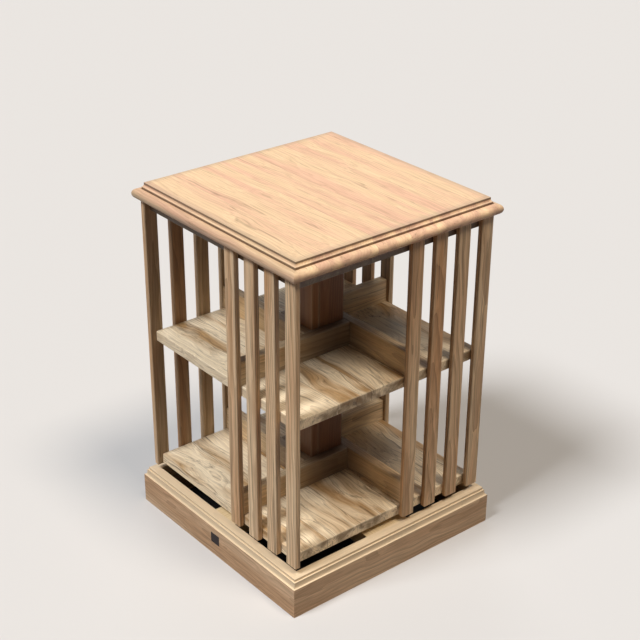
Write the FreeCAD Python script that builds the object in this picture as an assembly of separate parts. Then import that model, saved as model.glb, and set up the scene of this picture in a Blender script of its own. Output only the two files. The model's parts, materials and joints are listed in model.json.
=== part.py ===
import FreeCAD, Part
import math
import os

# Revolving bookcase in solid teak. A slatted carcass of two tiers turns on a steel spindle that
# stands in a low moulded plinth. Millimetres, +Z up, origin on the floor under the spindle.
# Front is -Y, left is -X, back is +Y and right is +X. What stands on one side is repeated on the
# others by quarter turns, so the slats and dividers go round the core like a pinwheel.

V = FreeCAD.Vector

# Square boards of the carcass
board_w = 452.0
board_t = 22.0
board_arris = 2.0
lower_tier_h = 268.0
upper_tier_h = 261.0

# Slats on the boards' edges, on one half of each side
slats_per_side = 4
slat_w = 29.0
slat_t = 12.0
slat_arris = 2.0
slat_drop = 2.5  # below the bottom shelf
slat_lead = 2.6  # the innermost slat's centre is this much nearer the middle than its divider's

# Core and low dividers
core_t = 17.0
core_arris = 1.2
core_play = 1.5  # between the bushes' flanges and the core
divider_h = 50.0
divider_t = 20.0
divider_arris = 2.5

# Top board: half-round, quirk, fillet, hollow and rim, from the underside up
top_overhang = 12.0  # beyond the slats
bead_r = 11.0
bead_ledge_w = 3.8  # from the bead's crown in to the fillet
quirk_w = 2.2
quirk_depth = 1.2
fillet_h = 3.4  # above the bead's crown
hollow_w = 3.2
hollow_h = 5.6
rim_h = 3.5
rim_round = 0.6

# Plinth: four mitred rails with a low ledge, a cove, a high ledge and a rim
plinth_reach = 17.5  # beyond the slats
plinth_h = 82.0
plinth_t = 26.5
plinth_round = 1.2
low_ledge_w = 2.4
cove_w = 2.4
cove_h = 9.8
cove_mid_shares = (0.72, 0.36)  # of its width and height
lip_h = 2.2
lip_round = 0.8
high_ledge_w = 2.9
plinth_rim_h = 5.5

# Plain plate let into the left rail
plate_w = 28.0
plate_h = 23.0
plate_t = 1.0
plate_round = 1.5
plate_sink = 0.2
plate_lift = 27.5  # above the floor

# Crossed bearers under the spindle, half-lapped, with stub tenons in the plinth
side_bearer_w = 66.0  # from left to right
front_bearer_w = 106.0  # from front to back
bearer_h = 32.0
tenon_l = 10.0
tenon_h = 14.0
tenon_shoulder = 10.0
tenon_room = 0.5  # at the bottom of the mortise

# Spindle with its flange, collar and pin, and the bushes that run on it
spindle_d = 30.0
spindle_wall = 4.0
spindle_play = 0.3
spindle_tip = 4.0  # above the collar
socket_play = 0.2
flange_d = 100.0
flange_t = 3.0
bush_wall = 2.7
bush_lip = 3.5
bush_lip_t = 3.0
bush_fit = 0.1
collar_h = 12.0
collar_chamfer = 1.0
collar_lift = 0.5  # above the bush
collar_play = 2.0  # inside the core
collar_fit = 0.1
pin_d = 5.0
pin_inset = 1.0

# Thrust bearing with radial rollers
bearing_h = 11.0
roller_d = 5.0
roller_l = 6.0
roller_count = 12
roller_play = 0.3
race_wall = 2.3  # beyond the rollers' ends
cage_t = 2.4
cage_inset = 0.5

# Countersunk screws of the flange
screw_d = 4.5
screw_head_d = 9.0
screw_head_h = 2.4
screw_play = 0.15
screw_inset = 10.0  # from the flange's rim
screw_cover = 8.0  # of wood left below

overrun = 5.0  # of every cut

# Places worked out from the sizes above
board_half = board_w / 2
carcass_half = board_half + slat_t
spindle_r = spindle_d / 2
running_r = spindle_r + spindle_play
bush_r = running_r + bush_wall
bush_lip_r = bush_r + bush_lip
hollow_half = bush_lip_r + core_play
core_half = hollow_half + core_t
plinth_half = carcass_half + plinth_reach
plinth_inner = plinth_half - plinth_t
bearer_z = plinth_h - bearer_h
lap_z = plinth_h - bearer_h / 2
flange_z = plinth_h + flange_t
bottom_z = flange_z + bearing_h
bottom_top = bottom_z + board_t
middle_z = bottom_top + lower_tier_h
middle_top = middle_z + board_t
upper_z = middle_top + upper_tier_h
top_z = upper_z + board_t

SIDES = ("front", "left", "back", "right")
UP, IN = (0, 1), (-1, 0)
nodes = {}


def box(x0, x1, y0, y1, z0, z1):
    """Block between two corners."""
    return Part.makeBox(x1 - x0, y1 - y0, z1 - z0, V(x0, y0, z0))


def cylinder(radius, z0, z1):
    """Upright cylinder on the axis."""
    return Part.makeCylinder(radius, z1 - z0, V(0, 0, z0))


def turned(shape, quarter_turns):
    """Copy turned from the front to the left, the back or the right."""
    return shape.rotated(V(0, 0, 0), V(0, 0, 1), -90 * quarter_turns)


def path(start, steps):
    """Edges in the XZ plane. A step is the end of a line, or a point on an arc and its end."""
    edges = []
    here = V(start[0], 0, start[1])
    for step in steps:
        if isinstance(step[0], tuple):
            middle, end = (V(x, 0, z) for x, z in step)
            edges.append(Part.Arc(here, middle, end).toShape())
        else:
            end = V(step[0], 0, step[1])
            edges.append(Part.LineSegment(here, end).toShape())
        here = end
    return edges


def rounded(x, z, radius, way_in, way_out):
    """Steps round a square corner: the line up to it and its arc."""
    middle_share = 1 - math.sqrt(0.5)
    start = (x - radius * way_in[0], z - radius * way_in[1])
    end = (x + radius * way_out[0], z + radius * way_out[1])
    middle = (x + radius * middle_share * (way_out[0] - way_in[0]),
              z + radius * middle_share * (way_out[1] - way_in[1]))
    return [start, (middle, end)]


def ring(start, steps):
    """Solid turned about the axis from a section that closes on its start."""
    return Part.Face(Part.Wire(path(start, steps + [start]))).revolve(V(0, 0, 0), V(0, 0, 1), 360)


def screw(length, play=0):
    """Countersunk screw below the origin, head up. With play it is the hole for one."""
    shank = screw_d / 2 + play
    head = screw_head_d / 2 + play
    tip = length + play
    return ring((0, 0), [(head, 0), (shank, -screw_head_h), (shank, shank - tip), (0, -tip)])


def tenon(width, reach):
    """The bar that forms the stub tenons at both ends of a bearer, or their mortises."""
    half = width / 2 - tenon_shoulder
    return box(-reach, reach, -half, half, lap_z - tenon_h / 2, lap_z + tenon_h / 2)


def bearer(width):
    """Bearer from left to right with its tenons."""
    plain = box(-plinth_inner, plinth_inner, -width / 2, width / 2, bearer_z, plinth_h)
    return plain.fuse(tenon(width, plinth_inner + tenon_l)).removeSplitter()


def plate(inset, thickness):
    """Upright plate on the middle of the left side, with rounded corners, or its recess."""
    x0 = -plinth_half + inset
    blank = box(x0, x0 + thickness, -plate_w / 2, plate_w / 2, plate_lift, plate_lift + plate_h)
    return blank.makeFillet(plate_round, [e for e in blank.Edges if e.BoundBox.XLength > thickness / 2])


def flange_screws(play=0):
    """Screws of the spindle's flange, on the bearers' centre lines. With play, their holes."""
    one = screw(flange_t + bearer_h - screw_cover, play)
    one.translate(V(flange_d / 2 - screw_inset, 0, flange_z))
    return [turned(one, turn) for turn in range(4)]


def make_plinth():
    """Four mitred rails: the moulded section as a bar, kept inside a quarter of the square."""
    high_z = plinth_h - plinth_rim_h
    cove_z = high_z - lip_h
    low_z = cove_z - cove_h
    cove_x = plinth_half - low_ledge_w
    lip_x = cove_x - cove_w
    rim_x = lip_x - high_ledge_w
    cove_mid = (cove_x - cove_w * cove_mid_shares[0], low_z + cove_h * cove_mid_shares[1])
    steps = rounded(plinth_half, low_z, plinth_round, UP, IN)
    steps += [(cove_x, low_z), (cove_mid, (lip_x, cove_z))]
    steps += rounded(lip_x, high_z, lip_round, UP, IN)
    steps += [(rim_x, high_z)]
    steps += rounded(rim_x, plinth_h, lip_round, UP, IN)
    steps += [(plinth_inner, plinth_h), (plinth_inner, 0), (plinth_half, 0)]
    bar = Part.Face(Part.Wire(path((plinth_half, 0), steps))).extrude(V(0, 2 * plinth_half, 0))
    bar.translate(V(0, -plinth_half, 0))
    reach = plinth_half + overrun
    corners = [V(0, 0, -overrun), V(reach, -reach, -overrun), V(reach, reach, -overrun), V(0, 0, -overrun)]
    quarter = Part.Face(Part.makePolygon(corners)).extrude(V(0, 0, plinth_h + 2 * overrun))
    rail = bar.common(quarter)
    for turn, side in enumerate(SIDES, start=1):
        width = side_bearer_w if side in ("left", "right") else front_bearer_w
        mortise = tenon(width, plinth_inner + tenon_l + tenon_room)
        nodes[f"plinth_rail_{side}"] = turned(rail.cut(mortise), turn)
    recess = plate(-overrun, overrun + plate_sink + plate_t)
    nodes["plinth_rail_left"] = nodes["plinth_rail_left"].cut(recess)
    nodes["plinth_plate"] = plate(plate_sink, plate_t)


def make_bearers():
    """Crossed bearers, half-lapped, bored for the spindle and its flange screws."""
    half_side, half_front = side_bearer_w / 2, front_bearer_w / 2
    upper_lap = box(-half_front, half_front, -half_side, half_side, lap_z, plinth_h + overrun)
    lower_lap = box(-half_front, half_front, -half_side, half_side, bearer_z - overrun, lap_z)
    holes = [cylinder(spindle_r + socket_play, bearer_z - overrun, plinth_h + overrun)]
    holes += flange_screws(screw_play)
    nodes["side_bearer"] = bearer(side_bearer_w).cut(upper_lap).cut(holes)
    nodes["front_bearer"] = turned(bearer(front_bearer_w), 1).cut(lower_lap).cut(holes)


def make_spindle():
    """Steel tube with a flange on the bearers, its screws, and the collar pinned near its tip."""
    bore = spindle_r - spindle_wall
    flange_r = flange_d / 2
    collar_z = middle_top + bush_lip_t + collar_lift
    collar_top = collar_z + collar_h
    tip = collar_top + spindle_tip
    steps = [(spindle_r, bearer_z), (spindle_r, plinth_h), (flange_r, plinth_h), (flange_r, flange_z)]
    steps += [(spindle_r, flange_z), (spindle_r, tip), (bore, tip)]
    tube = ring((bore, bearer_z), steps)
    inner = spindle_r + collar_fit
    outer = hollow_half - collar_play
    shoulder = outer - collar_chamfer
    steps = [(shoulder, collar_z), (outer, collar_z + collar_chamfer), (outer, collar_top - collar_chamfer)]
    steps += [(shoulder, collar_top), (inner, collar_top)]
    collar = ring((inner, collar_z), steps)
    pin_half = outer - pin_inset
    pin_z = collar_z + collar_h / 2
    pin = Part.makeCylinder(pin_d / 2, 2 * pin_half, V(-pin_half, 0, pin_z), V(1, 0, 0))
    pin_hole = Part.makeCylinder(pin_d / 2 + collar_fit, 2 * outer, V(-outer, 0, pin_z), V(1, 0, 0))
    nodes["spindle"] = tube.cut(flange_screws(screw_play) + [pin_hole])
    nodes["spindle_screws"] = Part.makeCompound(flange_screws())
    nodes["retaining_collar"] = collar.cut(pin_hole)
    nodes["collar_pin"] = pin


def make_bushes():
    """Flanged bushes in the bottom and middle shelf, flange up inside the core."""
    for name, z in (("bottom_bush", bottom_z), ("middle_bush", middle_z)):
        lip_z = z + board_t
        lip_top = lip_z + bush_lip_t
        steps = [(bush_r, z), (bush_r, lip_z), (bush_lip_r, lip_z), (bush_lip_r, lip_top)]
        nodes[name] = ring((running_r, z), steps + [(running_r, lip_top)])


def make_thrust_bearing():
    """Thrust bearing on the flange: two flat washers, and radial rollers in a cage between them."""
    outer = running_r + roller_l + 2 * race_wall
    middle = flange_z + bearing_h / 2
    washer_t = (bearing_h - roller_d) / 2 - roller_play
    washer = cylinder(outer, 0, washer_t).cut(cylinder(running_r, 0, washer_t))
    nodes["thrust_washer_lower"] = washer.translated(V(0, 0, flange_z))
    nodes["thrust_washer_upper"] = washer.translated(V(0, 0, bottom_z - washer_t))
    start = running_r + race_wall
    roller = Part.makeCylinder(roller_d / 2, roller_l, V(start, 0, middle), V(1, 0, 0))
    half = roller_d / 2 + roller_play
    low, high = middle - cage_t / 2, middle + cage_t / 2
    pocket = box(start - roller_play, start + roller_l + roller_play, -half, half, low, high)
    turns = [4 * number / roller_count for number in range(roller_count)]
    cage = cylinder(outer - cage_inset, low, high).cut(cylinder(running_r + cage_inset, low, high))
    nodes["thrust_cage"] = cage.cut([turned(pocket, turn) for turn in turns])
    nodes["thrust_rollers"] = Part.makeCompound([turned(roller, turn) for turn in turns])


def make_boards():
    """Bottom shelf, middle shelf and upper board: one square board at three heights."""
    blank = box(-board_half, board_half, -board_half, board_half, 0, board_t)
    blank = blank.makeFillet(board_arris, blank.Edges)
    shelf = blank.cut(cylinder(bush_r + bush_fit, -overrun, board_t + overrun))
    nodes["bottom_shelf"] = shelf.translated(V(0, 0, bottom_z))
    nodes["middle_shelf"] = shelf.translated(V(0, 0, middle_z))
    nodes["upper_board"] = blank.translated(V(0, 0, upper_z))


def make_top():
    """Moulded top: one outline carried from front to back, kept inside the same from side to side."""
    edge_half = carcass_half + top_overhang
    bead_half = edge_half - bead_r
    fillet_half = bead_half - bead_ledge_w
    quirk_half = fillet_half + quirk_w
    rim_half = fillet_half - hollow_w
    crown_z = top_z + 2 * bead_r
    quirk_z = crown_z - quirk_depth
    fillet_z = crown_z + fillet_h
    rim_z = fillet_z + hollow_h
    face_z = rim_z + rim_h
    # the hollow is an arc that meets the rim upright
    hollow_r = (hollow_w ** 2 + hollow_h ** 2) / (2 * hollow_w)
    half_sweep = math.asin(hollow_h / hollow_r) / 2
    hollow_mid = (rim_half + hollow_r * (1 - math.cos(half_sweep)), rim_z - hollow_r * math.sin(half_sweep))
    steps = [((edge_half, top_z + bead_r), (bead_half, crown_z))]
    steps += [(quirk_half, crown_z), (quirk_half, quirk_z), (fillet_half, quirk_z), (fillet_half, fillet_z)]
    steps += [(hollow_mid, (rim_half, rim_z))]
    steps += rounded(rim_half, face_z, rim_round, UP, IN)
    right = path((bead_half, top_z), steps)
    left = [edge.mirror(V(0, 0, 0), V(1, 0, 0)) for edge in right]
    flats = path((-bead_half, top_z), [(bead_half, top_z)])
    flats += path((rim_round - rim_half, face_z), [(rim_half - rim_round, face_z)])
    outline = Part.Wire(Part.sortEdges(right + left + flats)[0])
    bar = Part.Face(outline).extrude(V(0, 2 * edge_half, 0)).translated(V(0, -edge_half, 0))
    nodes["top_board"] = bar.common(turned(bar, 1))


def make_slats():
    """Slats on one half of each side, evenly from the corner to the divider."""
    corner = carcass_half - slat_w / 2
    innermost = core_half + divider_t / 2 - slat_lead
    pitch = (corner - innermost) / (slats_per_side - 1)
    slat = box(-slat_w / 2, slat_w / 2, -carcass_half, -board_half, bottom_z - slat_drop, top_z)
    slat = slat.makeFillet(slat_arris, [e for e in slat.Edges if e.BoundBox.ZLength > slat_w])
    for turn, side in enumerate(SIDES):
        for number in range(slats_per_side):
            placed = slat.translated(V(corner - number * pitch, 0, 0))
            nodes[f"slat_{side}_{number + 1}"] = turned(placed, turn)


def make_core():
    """Hollow core: four boards in each tier, each lapping the edge of the next."""
    for tier, z0, z1 in (("lower", bottom_top, middle_z), ("upper", middle_top, upper_z)):
        board = box(-hollow_half, core_half, -core_half, -hollow_half, z0, z1)
        boxes = [(e, e.BoundBox) for e in board.Edges]
        outer = [e for e, room in boxes if room.XMin > hollow_half and room.YMax < -hollow_half - core_arris]
        board = board.makeFillet(core_arris, outer)
        for turn, side in enumerate(SIDES):
            nodes[f"core_{tier}_{side}"] = turned(board, turn)


def make_dividers():
    """Low rails from each side past the core to the next rail, with rounded top edges."""
    for tier, z0 in (("lower", bottom_top), ("upper", middle_top)):
        rail = box(core_half, core_half + divider_t, -board_half, core_half, z0, z0 + divider_h)
        boxes = [(e, e.BoundBox) for e in rail.Edges]
        crest = [e for e, room in boxes if room.ZMin > z0 + divider_arris and room.YLength > divider_t]
        rail = rail.makeFillet(divider_arris, crest)
        for turn, side in enumerate(SIDES):
            nodes[f"divider_{tier}_{side}"] = turned(rail, turn)


make_plinth()
make_bearers()
make_spindle()
make_thrust_bearing()
make_bushes()
make_boards()
make_top()
make_slats()
make_core()
make_dividers()

os.makedirs("parts", exist_ok=True)
for node, shape in nodes.items():
    shape.exportStep(f"parts/{node}.step")
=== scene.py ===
"""Slatted revolving bookcase: its teak, the metals of its turning gear, and a plain studio.

Lengths are in metres. Each timber piece is worked out as grids of points from the box of the CAD node
that it stands for, and carries the lie of its own grain, so that rings, fibres and streaks run through
the wood and show end grain where a plank was cut across.
"""

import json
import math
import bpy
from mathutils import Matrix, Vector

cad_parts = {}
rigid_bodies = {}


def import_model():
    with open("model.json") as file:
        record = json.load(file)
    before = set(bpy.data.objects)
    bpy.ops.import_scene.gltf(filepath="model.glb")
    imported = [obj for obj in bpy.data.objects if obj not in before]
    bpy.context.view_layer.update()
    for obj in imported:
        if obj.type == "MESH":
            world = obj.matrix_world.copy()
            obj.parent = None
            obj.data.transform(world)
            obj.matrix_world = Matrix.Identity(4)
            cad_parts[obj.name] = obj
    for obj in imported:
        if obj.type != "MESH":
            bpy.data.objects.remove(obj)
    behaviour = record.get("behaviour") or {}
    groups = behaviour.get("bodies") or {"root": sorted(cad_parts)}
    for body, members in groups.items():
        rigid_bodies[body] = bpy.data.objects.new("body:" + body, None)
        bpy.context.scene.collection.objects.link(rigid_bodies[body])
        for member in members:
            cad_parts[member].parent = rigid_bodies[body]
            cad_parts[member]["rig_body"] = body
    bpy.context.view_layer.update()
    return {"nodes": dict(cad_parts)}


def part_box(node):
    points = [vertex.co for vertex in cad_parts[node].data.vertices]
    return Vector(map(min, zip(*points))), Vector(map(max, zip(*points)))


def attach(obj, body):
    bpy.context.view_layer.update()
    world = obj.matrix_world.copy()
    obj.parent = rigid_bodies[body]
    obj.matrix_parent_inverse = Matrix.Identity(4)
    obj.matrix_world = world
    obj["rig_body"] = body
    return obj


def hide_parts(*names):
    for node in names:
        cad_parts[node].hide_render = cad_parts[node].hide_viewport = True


bl_info = {
    "name": "Revolving bookcase",
    "version": (1, 0, 0),
    "blender": (4, 5, 0),
    "location": "View3D > Sidebar > Bookcase",
    "description": "Dresses a slatted revolving bookcase in teak, piece by piece",
    "category": "Add Mesh",
}

from functools import partial

import bpy
import numpy as np
from bpy.props import FloatProperty, FloatVectorProperty, PointerProperty
from mathutils import Matrix, Vector

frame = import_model()

SIDES = ("front", "left", "back", "right")
TIERS = ("lower", "upper")
X, Y, Z = range(3)
RUN = {"front": X, "left": Y, "back": X, "right": Y}  # level axis along each side
OUTWARD = {"front": -1, "left": -1, "back": 1, "right": 1}  # way that each side faces on the other axis
QUARTER_TURN = np.array([[0, -1, 0], [1, 0, 0], [0, 0, 1]])  # of row vectors, from the front to the left
PALEST_SLAT = "slat_left_1"  # at the front left corner

ARC_STEPS = np.tan(np.radians([0, 15, 30, 45]))  # even angles round half an arris
LEAST_FLAT = 0.4  # least share of a half-width that lies inside the wear
FEWEST_LINES = 3  # across a flat
HOLE_SQUARE = 1.25  # half the square round a hole, in radii of the hole
HOLE_ROWS = 3  # of points from that square to the hole
TOP_LINES, RAIL_LINES = 17, 19  # along a side of the top and of the plinth
BEAD_POINTS, HOLLOW_POINTS, NOSE_POINTS, FILLET_POINTS, WALL_POINTS = 19, 9, 5, 5, 3  # along a moulding
RECESS_WALL = 5e-5  # width that the wall of the plate's recess takes on the face
SAME_PLACE = 6  # decimals of a metre at which points fall together
NO_AREA = 1e-12  # square metres

# Plank joints across the glued-up boards, from left to right, and how ruddy or dark each plank is
TOP_JOINTS = np.array([-0.168, -0.061, 0.019, 0.082, 0.191])
TOP_TONES = np.array([0.1, 0.2, 0.55, 0.9, 0.6, 0.3])
SHELF_JOINTS = {
    "bottom_shelf": np.array([-0.150, -0.066, 0.029, 0.112]),
    "middle_shelf": np.array([-0.128, -0.047, 0.034, 0.118]),
    "upper_board": np.array([-0.137, -0.055, 0.031, 0.124]),
}
SHELF_TONES = {
    "bottom_shelf": np.array([-0.1, -0.1, -0.1, 0.0, 0.2]),
    "middle_shelf": np.array([0.0, 0.05, 0.15, 0.0, 0.0]),
    "upper_board": np.array([0.6, 0.9, 0.5, 0.8, 0.7]),
}

# Where a plank lies in its log
PITH_DISTANCE = (0.018, 0.075)  # from the pith to the plank's middle, least and most
PITH_ASIDE = 0.03  # most that the plank lies to one side of the pith
LEAN_ASIDE, LEAN_AWAY = 0.02, 0.025  # usual slopes of the plank against the pith
LOG_REACH = 20  # most that the plank lies up or down the log, so that no two show the same wood
SEED_STEP = 7919  # a prime, so that like names draw unlike planks

# Shares of rubbed wood, pale from wear and as a painted highlight, on any edge and on the plinth's moulding,
# and of dirt and painted shade
RUBBED_AND_HIGHLIT, RAIL_RUBBED_AND_HIGHLIT = 0.3, 0.68
JOINT_DIRT, TOP_JOINT_DIRT = 0.85, 0.2
# the top's quirk and hollow: dark wax and painted shade; the bead's left and right sides: dirt
QUIRK_WAX_AND_SHADE, BEAD_DIRT = 0.72, 0.22
# painted shade on the board under the top; patina and painted shade on the slats' inner faces
UPPER_BOARD_SHADE, SLAT_PATINA_AND_SHADE = 0.82, 0.4
# painted shade on the core's lower tier, under the middle shelf
CORE_SHADE = {"lower": 0.45, "upper": 0.0}
CLEAN_SHARE = 0.4  # of the width of wax and painted shade, which stays clean under an arris
# Painted shade that grows towards the core, where the compartments lie deepest: its share on the axis, of
# which no more than 1 shows, and where it ends
SHELF_CORE_SHADE, SHELF_CORE_SHADE_END = 0.4, 0.22
DIVIDER_CORE_SHADE, DIVIDER_CORE_SHADE_END = 1.4, 0.145

# Size of each pattern in the wood, across and along the grain. Teak's pores are 0.3 mm wide, too fine to
# show, so the fibres are drawn as bundles of several pores.
PATTERN_SIZES = {
    "rings": (0.0055, 0.22),
    "fibres": (0.0022, 0.10),
    "streaks": (0.009, 0.32),
    "bands": (0.038, 0.60),
    "knots": (0.060, 0.15),
    "wander": (0.055, 0.13),
}
# Strength of each group's figure: bands of pale and dark wood, late wood, streaks and where in the noise
# they start and are full, knots, how far in metres the grain wanders, the shades of pores and of clear
# wood, and how much brighter or darker cut ends are where they are pale and where they are dark
FIGURES = {
    "top": {"bands": 5.2, "rings": 0.16, "streaks": 0.62, "start": 0.54, "full": 0.80, "knots": 0.0,
            "wander": 0.020, "lines": (0.80, 1.09), "ends": (0.60, 0.05)},
    "shelves": {"bands": 5.6, "rings": 0.24, "streaks": 0.76, "start": 0.49, "full": 0.76, "knots": 0.6,
                "wander": 0.050, "lines": (0.82, 1.10), "ends": (0.12, -0.45)},
    "slats": {"bands": 3.2, "rings": 0.56, "streaks": 0.75, "start": 0.54, "full": 0.76, "knots": 0.85,
              "wander": 0.008, "lines": (0.72, 1.13), "ends": (-0.1, -0.3)},
    "core": {"bands": 2.4, "rings": 0.40, "streaks": 0.50, "start": 0.55, "full": 0.75, "knots": 0.5,
             "wander": 0.008, "lines": (0.80, 1.08), "ends": (-0.1, -0.3)},
    "dividers": {"bands": 2.4, "rings": 0.30, "streaks": 0.50, "start": 0.55, "full": 0.75, "knots": 0.5,
                 "wander": 0.012, "lines": (0.75, 1.11), "ends": (-0.1, -0.3)},
    "plinth": {"bands": 2.8, "rings": 0.36, "streaks": 0.50, "start": 0.56, "full": 0.80, "knots": 0.4,
               "wander": 0.016, "lines": (0.72, 1.13), "ends": (-0.1, -0.3)},
}
NOISE_SPAN = (0.3, 0.7)  # where most values of a noise texture lie
PATCH_SPAN = (0.4, 0.6)  # narrower, for patches with clearer edges
DARK_SHARE, TONE_SHARE = 0.1, 0.8  # of dark wood in a plank of tone 0, and what a tone of 1 adds
EARLY_WOOD = 0.35  # share of a ring that stays pale
KNOT_RIM = (0.06, 0.16)  # from a knot's heart to clear wood, in cells
KNOT_SHADE = 0.8  # grey of a cell, out of 1, past which it shows its knot: about one cell in eleven
END_SHADE = 0.93  # of end grain, where single pores don't show
RING_RELIEF = -0.4  # of late wood, in heights of a fibre
WAX_ROUGHNESS = (0.62, 0.44)  # over pores and over clear wood
TOOTH_MARK, TOOTH_RELIEF = 0.004, 0.5  # width of a saw's marks, and their relief in heights of a fibre
SCRATCH_SHADE = 0.75  # of a mark in metal, against the metal beside it
TARNISH_SPECK = 0.002
TARNISH_ROUGHNESS = (0.6, 0.38)  # of tarnish and of bare skin
# The worked metals: colour, roughness in the marks and between them, how it was worked, the marks' spacing
# along X, Y and Z, and what is made of it
METALS = {
    "steel_drawn": ("steel", (0.32, 0.5), "drawn", (0.0012, 0.0012, 0.04),
                    ("spindle", "retaining_collar", "collar_pin")),
    "steel_ground": ("steel", (0.2, 0.34), "ground", (0.0015, 0.0015, 0.1),
                     ("thrust_washer_lower", "thrust_washer_upper", "thrust_cage", "thrust_rollers")),
    "brass_turned": ("brass", (0.25, 0.4), "turned", (0.0012, 0.0012, 0.1), ("bottom_bush", "middle_bush")),
    "steel_zinc_plated": ("zinc", (0.35, 0.5), "drawn", (0.002, 0.002, 0.002), ("spindle_screws",)),
}
WAVE_PERIOD = 2 * math.pi / 20  # of the wave texture at scale 1
MIX_FACTOR, MIX_A, MIX_B, MIX_RESULT = 0, 6, 7, 2  # colour sockets of a Mix node
MIX_VALUE_A, MIX_VALUE_B, MIX_VALUE = 2, 3, 0  # and those for plain values

LAMPS = {"key": (-95, 55), "front": (12, 66), "back": (150, 58)}  # azimuth and elevation in degrees
LAMP_WIDTH = 18  # degrees across a lamp's diffuser
FLOOR_REACH = 12.0  # half the floor's width
SENSOR_WIDTH = 36.0  # millimetres


def linear(hex_colour):
    """Linear colour from an sRGB hex value, by the standard's formula."""
    shares = np.array([int(hex_colour[i:i + 2], 16) for i in (0, 2, 4)]) / 255
    return tuple(np.where(shares <= 0.04045, shares / 12.92, ((shares + 0.055) / 1.055) ** 2.4))


def colour(name, description, hex_colour):
    """Colour property with a hex default."""
    return FloatVectorProperty(name=name, description=description, subtype="COLOR", size=3, min=0, max=1,
                               default=linear(hex_colour))


def length(name, description, millimetres):
    """Length property with a default in millimetres."""
    return FloatProperty(name=name, description=description, unit="LENGTH", min=0,
                         default=millimetres / 1000)


def angle(name, description, degrees):
    """Angle property with a default in degrees."""
    return FloatProperty(name=name, description=description, unit="ROTATION", default=math.radians(degrees))


def level(name, description, default):
    """Light level property."""
    return FloatProperty(name=name, description=description, min=0, default=default)


class BookcaseSizes(bpy.types.PropertyGroup):
    """Sizes of the edges and mouldings"""

    board_arris: length("Board arris", "Rounding of the shelves' edges", 2)
    slat_arris: length("Slat arris", "Rounding of the slats' edges", 2)
    core_arris: length("Core arris", "Rounding of the core boards' edges", 1.2)
    divider_arris: length("Divider arris", "Rounding of the dividers' top edges", 2.5)
    foot_arris: length("Foot arris", "Rounding of edges that stand on a shelf", 0.4)
    wear: length("Wear", "Width of the rubbed band along an edge", 5)
    joint_w: length("Joint width", "Half the width of the dip along a plank joint", 0.7)
    joint_depth: length("Joint depth", "Depth of the dip along a plank joint", 0.3)
    cell: length("Cell", "Distance between grid lines on flat wood", 30)
    bore: length("Bush hole", "Radius of the hole for a bush in a shelf", 18.1)
    bead_r: length("Bead radius", "Half-round of the top's edge", 11)
    bead_ledge_w: length("Bead ledge", "From the bead's crown in to the fillet", 3.8)
    quirk_w: length("Quirk width", "Width of the groove behind the bead", 2.2)
    quirk_depth: length("Quirk depth", "Depth of the groove behind the bead", 1.2)
    fillet_h: length("Fillet", "Height of the fillet above the bead's crown", 3.4)
    hollow_w: length("Hollow width", "Width of the hollow over the fillet", 3.2)
    hollow_h: length("Hollow height", "Height of the hollow over the fillet", 5.6)
    rim_round: length("Rim rounding", "Rounding of the top's rim", 0.6)
    # width of the dark wax and painted shade round a quirk
    grime: length("Grime", "Width of the dirt round a quirk", 1.5)
    rail_t: length("Rail thickness", "Thickness of the plinth's rails", 26.5)
    rail_round: length("Rail rounding", "Rounding of the rails' outer edge", 1.2)
    low_ledge_w: length("Low ledge", "Width of the ledge under the cove", 2.4)
    cove_w: length("Cove width", "Width of the plinth's cove", 2.4)
    cove_h: length("Cove height", "Height of the plinth's cove", 9.8)
    lip_h: length("Lip", "Height of the lip over the cove", 2.2)
    lip_round: length("Lip rounding", "Rounding of the lip and the plinth's rim", 0.8)
    high_ledge_w: length("High ledge", "Width of the ledge under the plinth's rim", 2.9)
    plinth_rim_h: length("Plinth rim", "Height of the plinth's rim", 5.5)
    plate_recess: length("Plate recess", "Depth of the recess for the plate", 1.2)


class BookcaseColours(bpy.types.PropertyGroup):
    """Colours of the wood and the metals"""

    top_pale: colour("Top, pale", "Yellow planks of the top", "EDCCA4")
    top_dark: colour("Top, ruddy", "Pinkish planks of the top", "E6BA9B")
    shelf_pale: colour("Shelves, pale", "Sapwood of the shelves", "FFECCB")
    shelf_dark: colour("Shelves, dark", "Heartwood of the shelves", "BF9A6B")
    slat_pale: colour("Slats, pale", "Pale wood of the slats", "F8DAB2")
    slat_dark: colour("Slats, dark", "Dark wood of the slats", "D3A272")
    # the core's colours are far darker than the other teak: painted shade for the depth of the case
    core_pale: colour("Core, pale", "Pale wood of the core", "905C2B")
    core_dark: colour("Core, dark", "Dark wood of the core", "693A15")
    divider_pale: colour("Dividers, pale", "Pale wood of the dividers", "FCE4BD")
    divider_dark: colour("Dividers, dark", "Dark wood of the dividers", "EBC898")
    plinth_pale: colour("Plinth, pale", "Pale wood of the plinth", "EFCFAA")
    plinth_dark: colour("Plinth, dark", "Dark wood of the plinth", "CDA47C")
    # the bearers' colours are paler than their sawn wood: painted light on the ends under the shelf
    sawn_pale: colour("Underframe, pale", "Sawn wood of the bearers", "EED9B0")
    sawn_dark: colour("Underframe, dark", "Dark lines in sawn wood", "D2B78A")
    late_wood: colour("Late wood", "Dark part of each growth ring", "8A5F36")
    streak: colour("Streak", "Mineral streaks along the grain", "5E4428")
    knot: colour("Knot", "Heart of a knot", "4A2C16")
    # pale of rubbed edges and of the plinth's moulding: wear, and a painted highlight along the arrises
    rubbed_and_highlit: colour("Rubbed edge", "Wood that handling has polished pale", "ECDABA")
    # colour of joint dirt, also used as painted shade in hollows, on inner faces and near the core
    joint: colour("Joint", "Dirt in a plank joint", "3C1E09")
    bronze: colour("Bronze", "Plain plate on the plinth", "2E1F21")
    bronze_dark: colour("Bronze, dark", "Tarnish on the plate", "120A0D")
    steel: colour("Steel", "Drawn and ground steel", "BDBBB6")
    brass: colour("Brass", "Turned bushes", "CFA854")
    zinc: colour("Zinc", "Plated screws", "B9BEC4")


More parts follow.
